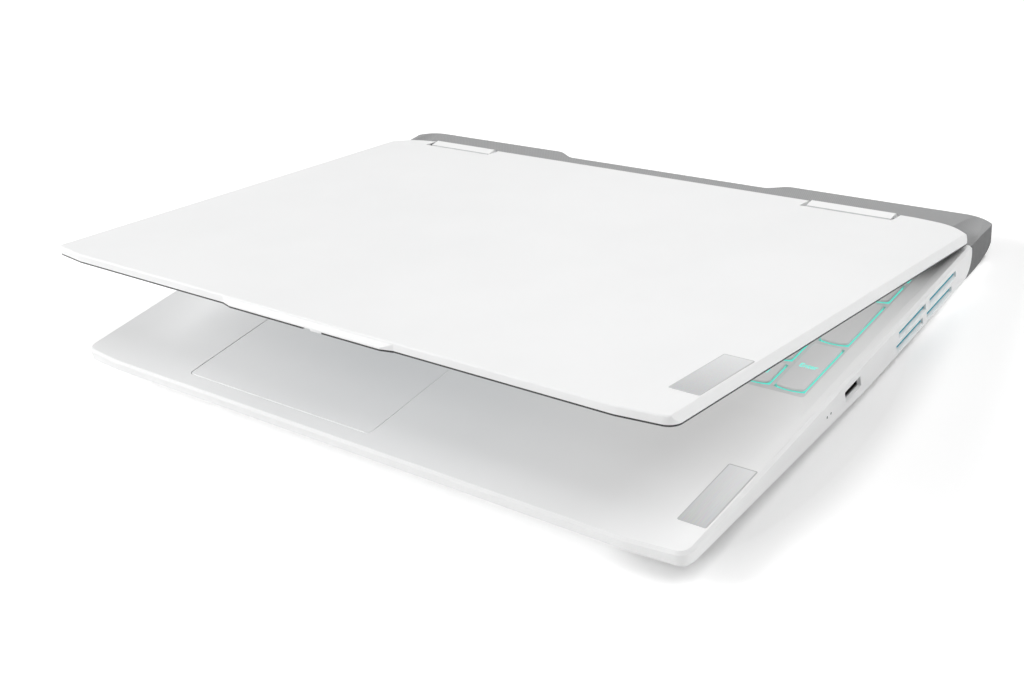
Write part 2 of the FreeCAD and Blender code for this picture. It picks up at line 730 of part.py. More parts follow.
def shelf_block(inset, top, bottom):
    """The shelf's form between two heights, with its rear face leaning in towards the table."""
    fall = (top - bottom) * REAR_LEAN / (DECK - SEAM_REAR)
    start = (DECK - top) * REAR_LEAN / (DECK - SEAM_REAR)
    face = Part.Face(inset_wire(shelf_wire(), inset))
    face.translate(vec(0, -start, top))
    return face.extrude(vec(0, -fall, bottom - top))


def shelf_undercut(sign):
    """What is taken off under the rear edge on each side of the recess, turned in at the end."""
    start = RECESS_X[1] + RECESS_SLOPE + 4 if sign > 0 else RECESS_X[0] - RECESS_SLOPE - 4
    outline = [(266, DECK - 1.2, 0), (255.2, DECK - 11.0, 12), (240, DECK - 13.3, 0), (240, -5, 0),
               (275, -5, 0), (275, DECK - 1.2, 0)]
    straight = side_profile(outline, sorted((start, sign * 200)))
    turned = side_profile(outline, sorted((sign * END_TURN_X, sign * 200)))
    turned.rotate(vec(sign * END_TURN_X, 260, 0), vec(0, 0, 1), -sign * END_TURN)
    return straight.fuse(turned)


def end_scoop(sign, radius):
    """The hollow that runs back beside each end of the shelf and fades out at the rear edge."""
    low, high = [vec(sign * SCOOP_X, y, DECK - depth + SCOOP_RADIUS) for y, depth in SCOOP_DEPTHS.items()]
    along = (high - low).normalize()
    return Part.makeCylinder(radius, 80, low - along * 40, along)


def exhaust_slots():
    slots = []
    for sign in (-1, 1):
        for i in range(17):
            x = sign * FAN_X - 38 + i * 4.75
            slots.append(box((x - 1.6, x + 1.6), (250, 275), (DECK - 9.4, DECK - 3.4)))
    return slots


def rear_cover():
    """Hollow grey shelf with the hinge trough, the end hollows, exhausts and rear sockets."""
    outer = shelf_block(0, DECK, SEAM_REAR)
    fall = vec(0, SHELF_FALL, DEPTH - LID_REAR - 1).normalize()
    outer = outer.cut(beyond(vec(0, LID_REAR + 1, DECK), fall))
    room = shelf_block(1.8, DECK - SKIN - SHELF_FALL, SEAM_REAR + COVER_SKIN)
    cuts = [rod_x(HINGE_Y, HINGE_Z, TROUGH_RADIUS, (-TROUGH_HALF, TROUGH_HALF))]
    for sign in (-1, 1):
        cutter = shelf_undercut(sign)
        outer = outer.cut(cutter)
        cutter.translate(vec(0, -1.3, 1.3))
        room = room.cut(cutter)
        cuts.append(end_scoop(sign, SCOOP_RADIUS))
    room = room.fuse(box((-HALF + WALL, HALF - WALL), (200, 246), (SEAM_REAR - 1, DECK - SKIN)))
    room = room.cut(rod_x(HINGE_Y, HINGE_Z, TROUGH_RADIUS + TROUGH_WALL, (-HALF, HALF)))
    room = room.cut([end_scoop(sign, SCOOP_RADIUS + SCOOP_WALL) for sign in (-1, 1)])
    cuts += exhaust_slots() + socket_windows("rear")
    bar_y = (HINGE_Y - BAR_FOOT_HALF, HINGE_Y + BAR_FOOT_HALF)
    cuts += [box(outward(side, 0, HINGE_LENGTH), bar_y, (DECK - 4, DECK + 1)) for side in HINGE_SPANS]
    return outer.cut(room).cut(cuts).cut(ahead_of_shelf())


# Lid hinges

def hinge_cover(side):
    """The bar that stands in the lid's notch: a barrel with a flat crown, eased along its front."""
    x = outward(side, 0, HINGE_LENGTH)
    hollow_x = grown(x, -BARREL_WALL)
    above = box(grown(x, 1), (HINGE_Y - 9, HINGE_Y + 9), (CROWN, CROWN + 9))
    foot = box(x, (HINGE_Y - BAR_FOOT_HALF, HINGE_Y + BAR_FOOT_HALF), (BARREL_FOOT, HINGE_Z))
    bar = joined([rod_x(HINGE_Y, HINGE_Z, BARREL, x), foot]).cut(above)
    above.translate(vec(0, 0, -CROWN_WALL))
    hollow = rod_x(HINGE_Y, HINGE_Z, BARREL - BARREL_WALL, hollow_x).cut(above)
    slot_half = BAR_FOOT_HALF - 0.6
    slot = box(hollow_x, (HINGE_Y - slot_half, HINGE_Y + slot_half), (BARREL_FOOT - 1, HINGE_Z))
    pin_hole = rod_x(HINGE_Y, HINGE_Z, PIN_RADIUS + 0.35, outward(side, HINGE_LENGTH - 2, HINGE_LENGTH + 2))
    (ease_start, ease_top), (ease_end, ease_bottom) = CROWN_EASE
    ease_normal = vec(0, ease_bottom - ease_top, ease_start - ease_end).normalize()
    ease = beyond(vec(0, HINGE_Y + ease_start, ease_top), ease_normal)
    return bar.cut([hollow, slot, pin_hole, ease])


def hinge_base_bracket(side):
    """Knuckle, neck and foot plate, screwed up under the deck."""
    knuckle_x = outward(side, 7, 33)
    plate_bottom = BRACKET_TOP - 1.2
    above = box(grown(knuckle_x, 1), (HINGE_Y - 9, HINGE_Y + 9), (CROWN - CROWN_WALL - 0.1, CROWN + 9))
    knuckle = rod_x(HINGE_Y, HINGE_Z, KNUCKLE, knuckle_x).cut(above)
    neck = box(knuckle_x, (HINGE_Y - KNUCKLE, HINGE_Y - 0.9), (plate_bottom, HINGE_Z))
    plate = box(outward(side, 2, 45), (216.5, HINGE_Y - 0.9), (plate_bottom, BRACKET_TOP))
    holes = [rod_x(HINGE_Y, HINGE_Z, PIN_RADIUS + PIN_FIT, outward(side, 0, HINGE_LENGTH))]
    for along in BRACKET_SCREWS:
        x = outward(side, along, along)[0]
        holes.append(rod_z(x, BRACKET_SCREW_Y, SCREW_RADIUS, (plate_bottom - 1, BRACKET_TOP + 1)))
    return joined([knuckle, neck, plate]).cut(holes)


def hinge_pin(side):
    """Headed shaft whose outer end is flattened to a tongue for the lid's bracket."""
    head = rod_x(HINGE_Y, HINGE_Z, PIN_RADIUS + 0.5, outward(side, 5.0, 6.6))
    shaft = rod_x(HINGE_Y, HINGE_Z, PIN_RADIUS, outward(side, 6.6, HINGE_LENGTH + 0.8))
    tongue_x = outward(side, HINGE_LENGTH + 0.1, LID_ARM[1] - 0.6)
    tongue = box(tongue_x, (HINGE_Y - 1.5, HINGE_Y - 0.3), (HINGE_Z, HINGE_Z + 1.0))
    return joined([head, shaft, tongue])


def hinge_lid_bracket(side):
    """Flat arm under the pin's tongue, staked to the lid."""
    plate = box(outward(side, *LID_ARM), (217, HINGE_Y - 0.3), (HINGE_Z - 1.0, HINGE_Z))
    x = outward(side, LID_BOSS_ALONG, LID_BOSS_ALONG)[0]
    return plate.cut([rod_z(x, y, SCREW_RADIUS, (HINGE_Z - 2, HINGE_Z + 1)) for y in LID_BOSS_Y])


# Lid

def lid_wire():
    """Plan of the lid: swept front corners and rear corners that curve in to the hinge line."""
    half = [
        (156.5, LID_FRONT, 20), (HALF, 2.2, 5.5), (HALF, 232.0, 6), (168.0, 242.3, 30),
        (148.0, LID_REAR, 60)]
    mirrored = [(-x, y, radius) for x, y, radius in half]
    return rounded_wire(half + mirrored[::-1])


def finger_lip(z, reach):
    """The lip across the middle of the lid's front edge."""
    corners = [(-LIP_HALF - LIP_SLOPE, LID_FRONT + 1, 0), (-LIP_HALF - LIP_SLOPE, LID_FRONT, 0),
               (-LIP_HALF, LID_FRONT - reach, 1.5), (LIP_HALF, LID_FRONT - reach, 1.5),
               (LIP_HALF + LIP_SLOPE, LID_FRONT, 0), (LIP_HALF + LIP_SLOPE, LID_FRONT + 1, 0)]
    return prism(rounded_wire(corners), z)


def hinge_notches(margin):
    """The spaces in the lid's rear edge that turn round the hinge bars."""
    radius = NOTCH_RADIUS + margin
    front = HINGE_Y - radius
    rear = LID_REAR + 5
    low, high = HINGE_Z - radius, HINGE_Z + radius
    round_front = radius - 0.001
    outline = [(front, low, round_front), (rear, low, 0), (rear, high, 0), (front, high, round_front)]
    return [side_profile(outline, grown(span, margin)) for span in HINGE_SPANS.values()]


def lid_sides(inset):
    """What is taken off so that the lid's sides lean in towards its top, or the same drawn in."""
    sides = []
    for sign in (-1, 1):
        normal = vec(sign * (LID_TOP - RIM_TOP - LID_LAND), 0, LID_DRAFT).normalize()
        sides.append(beyond(vec(sign * HALF, 0, RIM_TOP + LID_LAND) - normal * inset, normal))
    return sides


def lid_cover():
    """Shallow white pan with the finger lip, the hinge notches and the posts moulded inside it."""
    cover = prism(lid_wire(), (RIM_TOP, LID_TOP))
    cover = round_edges(cover, 0.9, at_height(LID_TOP)).cut(lid_sides(0))
    lip_top = LID_TOP - 0.9
    lip = finger_lip((RIM_TOP, lip_top), LIP_REACH)
    slant = vec(0, -(lip_top - RIM_TOP - 0.6), LIP_REACH).normalize()
    lip = lip.cut(beyond(vec(0, LID_FRONT - LIP_REACH, RIM_TOP + 0.6), slant))
    pocket = prism(inset_wire(lid_wire(), LID_WALL), (RIM_TOP - 1, LID_CEILING))
    pocket = pocket.cut(hinge_notches(1.2) + lid_sides(1.2))
    cover = joined([cover, lip]).cut([pocket, badge_recess(LID_BADGE, LID_TOP)] + hinge_notches(0))
    moulded = [rod_z(x, LENS_Y, 1.2, (CAMERA_BOARD[1], LID_CEILING + 0.3)) for x in (-20, 20)]
    slots = []
    for side in HINGE_SPANS:
        x = outward(side, LID_BOSS_ALONG, LID_BOSS_ALONG)[0]
        moulded += [rod_z(x, y, 2.2, (HINGE_Z, LID_CEILING + 0.3)) for y in LID_BOSS_Y]
        moulded += [rod_z(x, y, SCREW_RADIUS, (HINGE_Z - 1.2, HINGE_Z + 0.5)) for y in LID_BOSS_Y]
        slot_x = outward(side, HINGE_LENGTH, LID_ARM[0])
        slots.append(box(slot_x, (HINGE_Y - 1.8, HINGE_Y + 1.8), (RIM_TOP - 1, HINGE_Z + 1.8)))
    return joined([cover] + moulded).cut(slots)


def screen_bezel():
    """Black frame round the screen, whose edge shows as a line under the lid."""
    frame = joined([prism(inset_wire(lid_wire(), 0.2), (LID_UNDER, RIM_TOP)),
                    finger_lip((LID_UNDER, RIM_TOP), LIP_REACH - 0.15)])
    window = box((-VIEW_HALF, VIEW_HALF), VIEW_Y, (0, 60))
    lens_hole = rod_z(0, LENS_Y, 1.7, (0, 60))
    slider_slot = box((SHUTTER_X[0] - SHUTTER_TRAVEL - 0.3, SHUTTER_X[1] + 0.3), (-5, 2.2), (0, 60))
    return frame.cut([window, lens_hole, slider_slot] + hinge_notches(0))


def display_panel():
    body = box((-174.8, 174.8), (8.6, 212.0), (RIM_TOP, PANEL_TOP))
    driver_step = box((-176, 176), (206.0, 213.0), (RIM_TOP + 1.2, PANEL_TOP + 1))
    return body.cut(driver_step)


def webcam_module():
    """Camera board with its lens and two microphones."""
    under, top = CAMERA_BOARD
    board = box((-32, 32), (1.4, 7.6), CAMERA_BOARD)
    lens = rod_z(0, LENS_Y, 1.6, (under - 0.55, under))
    microphones = [box((x - 1.5, x + 1.5), (3, 6), (under - 0.5, under)) for x in (-26, 26)]
    return joined([board, lens] + microphones)


def webcam_shutter():
    """Privacy slider: a small grip in the lid's edge and a blade with a hole over the lens."""
    grip = box(SHUTTER_X, (LID_FRONT - LIP_REACH + 0.15, 2.0), (LID_UNDER + 0.1, RIM_TOP - 0.1))
    riser = box(SHUTTER_X, (1.2, 2.0), (LID_UNDER + 0.1, RIM_TOP + 0.35))
    blade = box((-4.0, SHUTTER_X[1]), (1.2, 7.2), (RIM_TOP + 0.05, RIM_TOP + 0.35))
    return joined([grip, riser, blade]).cut(rod_z(0, LENS_Y, 1.9, (0, 60)))


# Inside the base

def motherboard():
    outline = rounded_wire([
        (-164, 101, 3), (164, 101, 3), (164, 152, 3), (80, 152, 3),
        (80, 234, 3), (-80, 234, 3), (-80, 152, 3), (-164, 152, 3)])
    board = prism(outline, (BOARD_UNDER, BOARD_TOP))
    board = board.cut([rod_z(x, y, BOSS_RADIUS + 0.6, (0, 60)) for x, y in SCREWS])
    chips = [box((-40, -3), (168, 193), (BOARD_TOP, 8.0)), box((18, 50), (162, 194), (BOARD_TOP, 8.0))]
    chips += [box((-66 + 10 * i, -59 + 10 * i), (204, 211), (BOARD_TOP, 9.0)) for i in range(12)]
    chips += [box((x, x + 12), (160 + 15 * i, 172 + 15 * i), (BOARD_TOP, 7.6))
              for x in (56, -60) for i in range(3)]
    sockets = [box((17, 23), (104, 126), (BOARD_TOP, 9.2)), box((-100, -94), (108, 142), (BOARD_TOP, 9.6)),
               box((104, 110), (108, 130), (BOARD_TOP, 9.2))]
    card_posts = [rod_z(101, 115, 2.0, (BOARD_TOP, 7.4)), rod_z(138, 119, 2.0, (BOARD_TOP, 7.4))]
    return joined([board] + chips + sockets + card_posts)


def ssd_card():
    card = box((23, 103), (104, 126), (7.4, 8.2))
    chips = [box((32 + 22 * i, 48 + 22 * i), (107, 123), (8.2, 9.4)) for i in range(3)]
    return joined([card] + chips)


def memory_module():
    card = box((-94, -64), (110, 141), (7.6, 8.6))
    chips = [box((-90, -80), (112 + 7 * i, 117 + 7 * i), (8.6, 9.6)) for i in range(4)]
    return joined([card] + chips)


def wireless_card():
    return joined([box((110, 140), (108, 130), (7.4, 8.2)), box((114, 132), (111, 127), (8.2, 9.6))])


def battery_pack():
    tray = prism(rounded_wire(rectangle((-104, 104), (34, 90), 3)), (COVER_INSIDE, 4.4))
    cells = []
    for i in range(4):
        x = -102 + i * 51.2
        cell = prism(rounded_wire(rectangle((x, x + 50), (36, 88), 4)), (4.4, 10.2))
        cells.append(bevel_edges(cell, 1.2, at_height(10.2)))
    return joined([tray] + cells)


def speaker(sign):
    outline = rectangle((121, 157), (34, 82), 5)
    body = prism(rounded_wire(outline), (COVER_INSIDE, 9.6))
    body = bevel_edges(body, 1.0, at_height(9.6))
    sound_well = prism(rounded_wire(rectangle((126, 152), (60, 78), 3)), (COVER_INSIDE - 1, 5.2))
    cone = prism(rounded_wire(rectangle((130, 148), (64, 74), 4.5)), (3.9, 5.2))
    body = joined([body.cut(sound_well), cone])
    return body if sign > 0 else flip_x(body)


def heat_pipe(sign):
    """Flattened pipe from the chip plates to the fins behind a fan."""
    outline = [(-6, 178, 2), (74.5, 178, 14), (74.5, 246.3, 5), (160, 246.3, 2),
               (160, 252.4, 2), (66, 252.4, 14), (66, 187, 5), (-6, 187, 2)]
    pipe = prism(rounded_wire(outline), (9.0, 10.4))
    return pipe if sign > 0 else flip_x(pipe)


def fin_stack(x, y, z):
    """A block of thin fins under a solid back, open from front to rear."""
    pitch = 4.0
    gap = 3.2
    count = int((x[1] - x[0]) / pitch)
    gaps = []
    for i in range(count):
        start = x[0] + 0.4 + i * pitch
        gaps.append(box((start, start + gap), (y[0] - 1, y[1] + 1), (z[0] - 1, z[1] - 1.4)))
    return box(x, y, z).cut(gaps)


def heatsink():
    """Cold plates, two flattened pipes and a finned block behind each fan."""
    plates = [box((-42, 52), (164, 196), (8.0, 9.0))]
    fins = fin_stack((84, 160), (246.3, 252.4), (7.2, 10.4))
    return joined(plates + [heat_pipe(1), heat_pipe(-1), fins, flip_x(fins)])


def fan_housing(sign):
    """Flat scroll round the rotor, open above, below and at its outlets."""
    left, right = FAN_X - FAN_HALF, FAN_X + FAN_HALF
    front = FAN_Y - FAN_HALF
    wall = 1.0
    outline = [(left, front, 30), (right, front, 16), (right, FAN_DUCT_END, 0), (left, FAN_DUCT_END, 0)]
    inside = [(left + wall, front + wall, 29), (right - wall, front + wall, 15),
              (right - wall, FAN_DUCT_END + 2, 0), (left + wall, FAN_DUCT_END + 2, 0)]
    floor = FAN_FLOOR + 0.8
    roof = FAN_ROOF - 0.8
    body = prism(rounded_wire(outline), (FAN_FLOOR, FAN_ROOF))
    body = body.cut(prism(rounded_wire(inside), (floor, roof)))
    side_outlet = box((right - 2, right + 1), (front + 18, front + 60), (floor, roof))
    body = body.cut([rod_z(FAN_X, FAN_Y, FAN_INLET, (roof - 1, FAN_ROOF + 1)),
                     rod_z(FAN_X, FAN_Y, FAN_INLET, (FAN_FLOOR - 1, floor + 0.2)), side_outlet])
    spider = [rod_z(FAN_X, FAN_Y, 12, (FAN_FLOOR, floor)),
              rod_z(FAN_X, FAN_Y, SPINDLE_RADIUS, (FAN_FLOOR, 8.8))]
    feet = [rod_z(x, y, 1.8, (COVER_INSIDE, floor))
            for x, y in ((left + 3, 230), (right - 3, 230), (FAN_X, 162.5))]
    for turn in (90, 210, 330):
        spoke = box((FAN_X, FAN_X + 26), (FAN_Y - 2, FAN_Y + 2), (FAN_FLOOR, floor))
        spoke.rotate(vec(FAN_X, FAN_Y, 0), vec(0, 0, 1), turn)
        spider.append(spoke)
    body = joined([body] + spider + feet)
    return body if sign > 0 else flip_x(body)


def fan_rotor(sign):
    """Hub with a ring of backward-curved blades, turning on the housing's spindle."""
    hub_radius = 13.5
    tip_radius = 32.0
    thickness = 0.7
    hub = rod_z(FAN_X, FAN_Y, hub_radius, (5.1, 9.1)).cut(
        rod_z(FAN_X, FAN_Y, SPINDLE_RADIUS + PIN_FIT, (5, 8.9)))
    root = vec(hub_radius - 0.5, 0, 5.4)
    belly = vec(23.0, 2.2, 5.4)
    tip = vec(tip_radius - 2, 9.5, 5.4)
    side = vec(0, thickness, 0)
    edges = [Part.Arc(root, belly, tip).toShape(), Part.makeLine(tip, tip + side),
             Part.Arc(tip + side, belly + side, root + side).toShape(), Part.makeLine(root + side, root)]
    blade = Part.Face(Part.Wire(edges)).extrude(vec(0, 0, 3.4))
    blade.translate(vec(FAN_X, FAN_Y, 0))
    blades = []
    for i in range(BLADES):
        copy = blade.copy()
        copy.rotate(vec(FAN_X, FAN_Y, 0), vec(0, 0, 1), i * 360 / BLADES)
        blades.append(copy)
    rotor = joined([hub] + blades)
    return rotor if sign > 0 else flip_x(rotor)


# Every piece, by the node's name

def base_nodes():
    nodes = {
        "top_case": top_case(), "bottom_cover": bottom_cover(), "rear_cover": rear_cover(),
        "rubber_feet": rubber_feet(), "case_screws": case_screws(), "hinge_screws": hinge_screws(),
        "status_lights": status_lights(), "palmrest_badge": badge(PALM_BADGE, DECK),
        "side_vent_grille_left": side_vent_grille(-1), "side_vent_grille_right": side_vent_grille(1),
        "motherboard": motherboard(), "ssd_card": ssd_card(), "memory_module": memory_module(),
        "wireless_card": wireless_card(), "battery_pack": battery_pack(), "heatsink": heatsink(),
        "keyboard_frame": keyboard_frame(), "touchpad": touchpad(), "power_button": power_button(),
    }
    nodes.update(keyboard_sheets())
    nodes.update(key_nodes())
    nodes.update(socket_nodes())
    for side, sign in OUTBOARD.items():
        nodes["hinge_cover_" + side] = hinge_cover(side)
        nodes["hinge_base_bracket_" + side] = hinge_base_bracket(side)
        nodes["speaker_" + side] = speaker(sign)
        nodes["fan_housing_" + side] = fan_housing(sign)
        nodes["fan_rotor_" + side] = fan_rotor(sign)
    return nodes


def lid_nodes():
    nodes = {
        "lid_cover": lid_cover(), "screen_bezel": screen_bezel(), "display_panel": display_panel(),
        "webcam_module": webcam_module(), "webcam_shutter": webcam_shutter(),
        "lid_badge": badge(LID_BADGE, LID_TOP),
    }
    for side in HINGE_SPANS:
        nodes["hinge_pin_" + side] = hinge_pin(side)
        nodes["hinge_lid_bracket_" + side] = hinge_lid_bracket(side)
    for shape in nodes.values():
        shape.rotate(vec(0, HINGE_Y, HINGE_Z), vec(-1, 0, 0), OPEN_ANGLE)
    return nodes


os.makedirs("parts", exist_ok=True)
for node, solid in {**base_nodes(), **lid_nodes()}.items():
    solid.translate(vec(0, -DEPTH / 2, 0))
    solid.exportStep("parts/" + node + ".step")
    bad = [piece for piece in solid.Solids if not piece.isValid()]
    print(node, len(solid.Solids), "solids", round(solid.Volume / 1000, 2), "cm3", "INVALID" if bad else "")
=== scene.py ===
import math
import bpy
from mathutils import Matrix
from mathutils import Vector


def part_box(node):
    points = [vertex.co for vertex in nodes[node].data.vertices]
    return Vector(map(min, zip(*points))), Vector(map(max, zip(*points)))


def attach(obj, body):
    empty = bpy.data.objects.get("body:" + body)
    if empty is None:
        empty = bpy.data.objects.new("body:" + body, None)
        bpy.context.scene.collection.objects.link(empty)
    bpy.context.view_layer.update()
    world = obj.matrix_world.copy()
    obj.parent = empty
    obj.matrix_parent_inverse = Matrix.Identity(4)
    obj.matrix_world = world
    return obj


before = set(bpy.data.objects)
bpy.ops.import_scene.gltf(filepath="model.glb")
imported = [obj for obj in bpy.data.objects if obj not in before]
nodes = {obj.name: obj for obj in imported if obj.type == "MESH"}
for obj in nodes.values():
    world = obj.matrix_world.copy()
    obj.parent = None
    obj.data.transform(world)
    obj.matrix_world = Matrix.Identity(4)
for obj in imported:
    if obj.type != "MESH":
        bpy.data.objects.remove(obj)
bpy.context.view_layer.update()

# Base shells: bottom cover, top case and hinge covers in white moulded plastic.
# The plastic has a very fine spark-eroded grain, so it is matt with a soft sheen, and a faint
# cloudiness from the moulding. The hinge covers carry painted shade, a grey band along their eased
# front that stands in for the shadow in the gap under the lid's edge.

GRAIN_HEIGHT = 0.00004
CLOUD_SPAN = (0.35, 0.65)
NOISE_SPAN = (0.3, 0.7)
SHELL_DARK = (0.865, 0.868, 0.868)
SHELL_LIGHT = (0.885, 0.887, 0.887)
SHELL_SPECULAR = 0.35
GAP_SHADE_GREY = (0.50, 0.505, 0.51)
GAP_SHADE_FACING = (-0.3, -0.45)


def add_node(tree, kind, **sockets):
    """A shader node with values set on its named input sockets."""
    node = tree.nodes.new(kind)
    for name, value in sockets.items():
        node.inputs[name.replace("_", " ")].default_value = value
    return node


def place_on(tree):
    """The coordinates of the surface, by name."""
    return tree.nodes.new("ShaderNodeTexCoord").outputs


def axes_of(tree, vector):
    """The axis values of a vector, by name."""
    split = tree.nodes.new("ShaderNodeSeparateXYZ")
    tree.links.new(vector, split.inputs["Vector"])
    return split.outputs


def noise_on(tree, vector, **settings):
    """A noise pattern laid on a vector."""
    noise = add_node(tree, "ShaderNodeTexNoise", **settings)
    tree.links.new(vector, noise.inputs["Vector"])
    return noise.outputs


def make_grain_group():
    """Fine moulded grain: a slow cloud and a fine speck as values, and a bump normal."""
    group = bpy.data.node_groups.new("moulded_grain", "ShaderNodeTree")
    for name in ("Size", "Depth"):
        group.interface.new_socket(name, in_out="INPUT", socket_type="NodeSocketFloat")
    for name in ("Cloud", "Speck"):
        group.interface.new_socket(name, in_out="OUTPUT", socket_type="NodeSocketFloat")
    group.interface.new_socket("Normal", in_out="OUTPUT", socket_type="NodeSocketVector")
    entry = group.nodes.new("NodeGroupInput")
    leave = group.nodes.new("NodeGroupOutput")
    place = place_on(group)["Object"]
    cloud = noise_on(group, place, Scale=14.0, Detail=3.0, Roughness=0.55)
    speck = add_node(group, "ShaderNodeTexNoise", Detail=2.0, Roughness=0.6)
    bump = add_node(group, "ShaderNodeBump", Distance=GRAIN_HEIGHT)
    group.links.new(place, speck.inputs["Vector"])
    group.links.new(entry.outputs["Size"], speck.inputs["Scale"])
    group.links.new(entry.outputs["Depth"], bump.inputs["Strength"])
    group.links.new(speck.outputs["Fac"], bump.inputs["Height"])
    group.links.new(cloud["Fac"], leave.inputs["Cloud"])
    group.links.new(speck.outputs["Fac"], leave.inputs["Speck"])
    group.links.new(bump.outputs["Normal"], leave.inputs["Normal"])
    return group


grain_group = make_grain_group()


def moulded_grain(tree, size, depth):
    """The shared grain in one material, with its own fineness and depth."""
    grain = add_node(tree, "ShaderNodeGroup")
    grain.node_tree = grain_group
    grain.inputs["Size"].default_value = size
    grain.inputs["Depth"].default_value = depth
    return grain.outputs


def mix_colour(tree, factor, first, second):
    """Blend of two colours, each a plain one or a socket, by a factor socket."""
    mix = tree.nodes.new("ShaderNodeMix")
    mix.data_type = "RGBA"
    for side, colour in (("A", first), ("B", second)):
        if isinstance(colour, tuple):
            mix.inputs[side].default_value = (*colour, 1.0)
        else:
            tree.links.new(colour, mix.inputs[side])
    tree.links.new(factor, mix.inputs["Factor"])
    return mix.outputs["Result"]


def map_value(tree, value, low, high, new_low=0.0, new_high=1.0):
    """A value moved from one span to another and held inside it."""
    mapped = add_node(tree, "ShaderNodeMapRange",
                      From_Min=low, From_Max=high, To_Min=new_low, To_Max=new_high)
    tree.links.new(value, mapped.inputs["Value"])
    return mapped.outputs["Result"]


def open_material(material):
    """A material's node tree and its shader."""
    tree = material.node_tree
    return tree, tree.nodes["Principled BSDF"]


def start_material(name):
    """A new node material with its tree and shader."""
    material = bpy.data.materials.new(name)
    material.use_nodes = True
    return material, *open_material(material)


def cover_base(tree, shader, mask, colour):
    """Lays a colour over the base colour that a shader already has, where the mask is 1."""
    base = shader.inputs["Base Color"]
    tree.links.new(mix_colour(tree, mask, base.links[0].from_socket, colour), base)


def moulded_plastic(name, dark, light, rough=(0.42, 0.56), size=2600.0, depth=0.25):
    """Matt plastic between two close colours, with its grain in colour, gloss and relief."""
    material, tree, shader = start_material(name)
    grain = moulded_grain(tree, size, depth)
    cloud = map_value(tree, grain["Cloud"], *CLOUD_SPAN)
    tree.links.new(mix_colour(tree, cloud, dark, light), shader.inputs["Base Color"])
    tree.links.new(map_value(tree, grain["Speck"], *NOISE_SPAN, *rough), shader.inputs["Roughness"])
    tree.links.new(grain["Normal"], shader.inputs["Normal"])
    return material


def gap_shaded_plastic(name):
    """The plastic of the shells, with painted shade in grey on faces that look forward, for the shadow in
    the gap before them.
    """
    material = moulded_plastic(name, SHELL_DARK, SHELL_LIGHT)
    tree, shader = open_material(material)
    facing = axes_of(tree, place_on(tree)["Normal"])
    # Painted shade: faces that look forward turn grey, for the gap's shadow.
    cover_base(tree, shader, map_value(tree, facing["Y"], *GAP_SHADE_FACING), GAP_SHADE_GREY)
    return material


def paint(material, *names):
    """Gives CAD nodes one material all over."""
    for name in names:
        slots = nodes[name].data.materials
        slots.clear()
        slots.append(material)


white_plastic = moulded_plastic("white_plastic", SHELL_DARK, SHELL_LIGHT)
open_material(white_plastic)[1].inputs["Specular IOR Level"].default_value = SHELL_SPECULAR
paint(white_plastic, "bottom_cover", "top_case")
paint(gap_shaded_plastic("bar_white"), "hinge_cover_left", "hinge_cover_right")

# Feet and screws under the base.
# The rubber is darker and duller where dust settles, and the screw heads are blackened steel with
# turning marks.

RUBBER_DARK = (0.035, 0.036, 0.038)
RUBBER_LIGHT = (0.06, 0.06, 0.062)
MARK_HEIGHT = 0.00002


def laid_out(tree, **settings):
    """The surface's own coordinates, moved, turned or scaled."""
    mapping = add_node(tree, "ShaderNodeMapping", **settings)
    tree.links.new(place_on(tree)["Object"], mapping.inputs["Vector"])
    return mapping.outputs["Vector"]


def turned_steel(name, dark, light, rough):
    """Metal with fine marks drawn out along the x axis."""
    material, tree, shader = start_material(name)
    marks = noise_on(tree, laid_out(tree, Scale=(0.04, 1.0, 1.0)), Scale=3000.0, Detail=3.0)["Fac"]
    bump = add_node(tree, "ShaderNodeBump", Strength=0.15, Distance=MARK_HEIGHT)
    tree.links.new(marks, bump.inputs["Height"])
    tree.links.new(mix_colour(tree, marks, dark, light), shader.inputs["Base Color"])
    tree.links.new(map_value(tree, marks, *NOISE_SPAN, *rough), shader.inputs["Roughness"])
    tree.links.new(bump.outputs["Normal"], shader.inputs["Normal"])
    shader.inputs["Metallic"].default_value = 1.0
    return material


paint(moulded_plastic("foot_rubber", RUBBER_DARK, RUBBER_LIGHT, (0.7, 0.9), 1500.0, 0.6), "rubber_feet")
black_steel = turned_steel("black_steel", (0.10, 0.10, 0.105), (0.20, 0.20, 0.21), (0.3, 0.5))
paint(black_steel, "case_screws", "hinge_screws")

# Rear shelf in grey plastic with a fine diagonal weave moulded into its top.
# Two sets of crossing lines about a millimetre apart give the weave in colour and relief, and the two
# end faces are plain and darker.

WEAVE_PITCH = 0.0009
WEAVE_TURN = math.radians(40)
WEAVE_HEIGHT = 0.00012
SHELF_DARK = (0.25, 0.252, 0.254)
SHELF_LIGHT = (0.335, 0.337, 0.339)
SHELF_END = (0.125, 0.127, 0.129)
END_FACING = (0.7, 0.9)


def math_value(tree, operation, *values):
    """Result of a sum on values that are sockets or plain numbers."""
    work = tree.nodes.new("ShaderNodeMath")
    work.operation = operation
    for position, value in enumerate(values):
        if isinstance(value, float):
            work.inputs[position].default_value = value
        else:
            tree.links.new(value, work.inputs[position])
    return work.outputs["Value"]


def diagonal_lines(tree, turn):
    """Parallel lines across the plan at an angle, as a value from 0 to 1."""
    lines = add_node(tree, "ShaderNodeTexWave", Scale=math.pi / (10.0 * WEAVE_PITCH), Distortion=0.0)
    tree.links.new(laid_out(tree, Rotation=(0.0, 0.0, turn)), lines.inputs["Vector"])
    return lines.outputs["Fac"]


